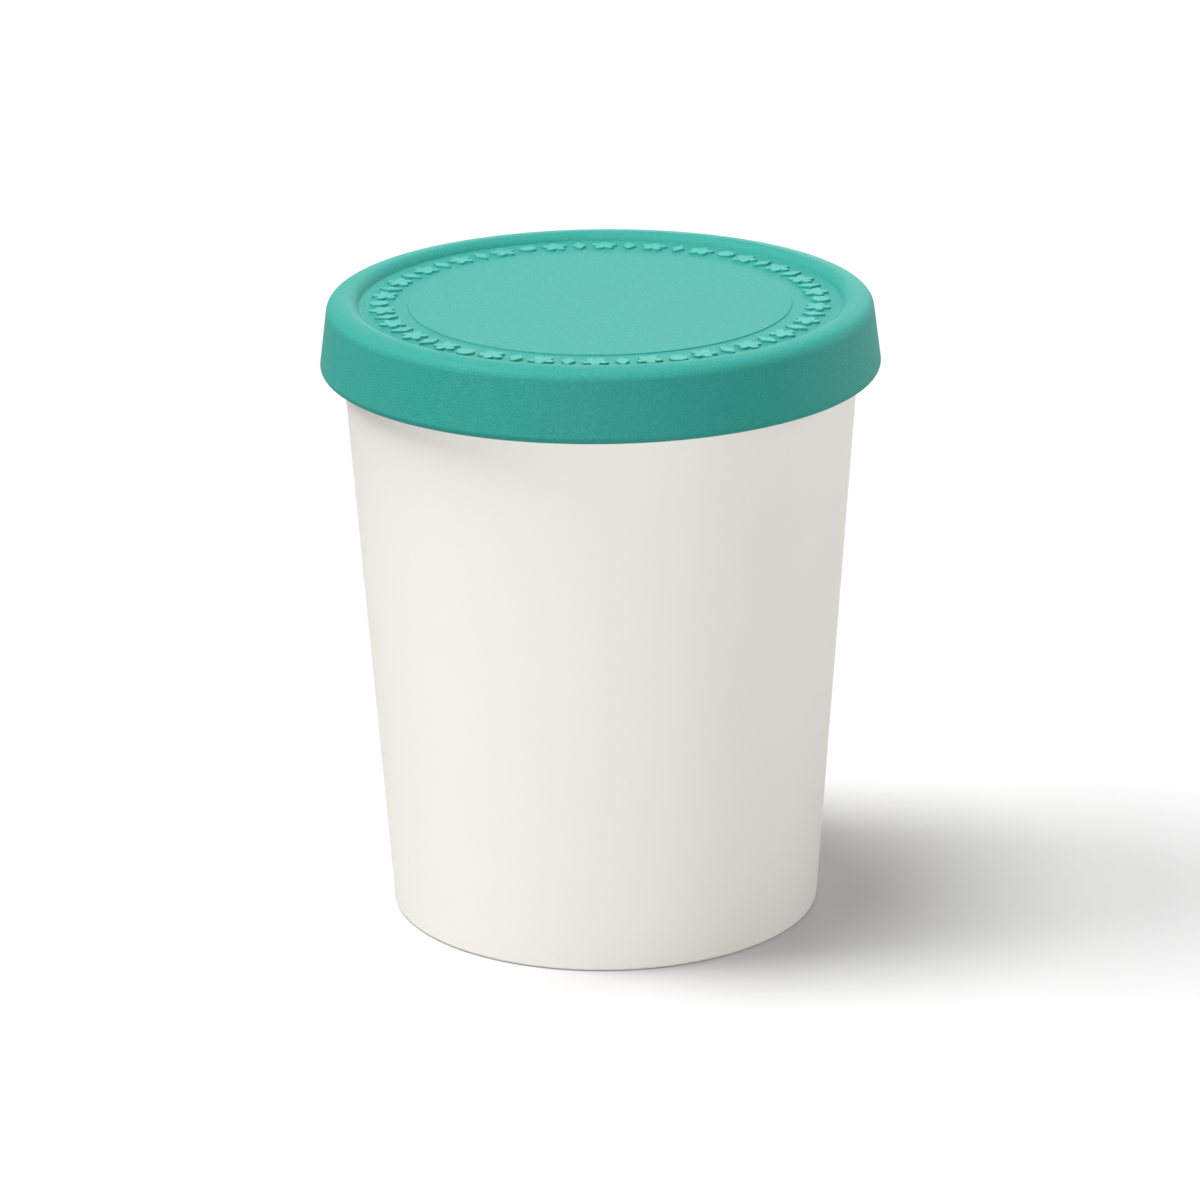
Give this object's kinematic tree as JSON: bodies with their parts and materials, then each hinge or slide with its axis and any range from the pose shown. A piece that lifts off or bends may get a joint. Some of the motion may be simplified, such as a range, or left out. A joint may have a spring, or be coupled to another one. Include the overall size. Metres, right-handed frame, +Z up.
{
  "type": "reusable ice cream tub",
  "caption": "Tapered round plastic food tub with a soft moulded silicone lid pressed over its rim, standing on a flat foot ring.",
  "frame": {"origin": "middle of the foot, on the surface the tub stands on", "axes": "+Z up along the tub's axis; the tub and lid are round, and +X is the side that a first row dot of the lid's raised border points to"},
  "size_m": [0.13, 0.13, 0.148],
  "materials": {
    "tub_plastic": "satin moulded polypropylene, warm off-white",
    "lid_silicone": "matt moulded silicone, teal green"
  },
  "bodies": {
    "root": {"tub": "tub_plastic", "lid": "lid_silicone"}
  },
  "joints": []
}
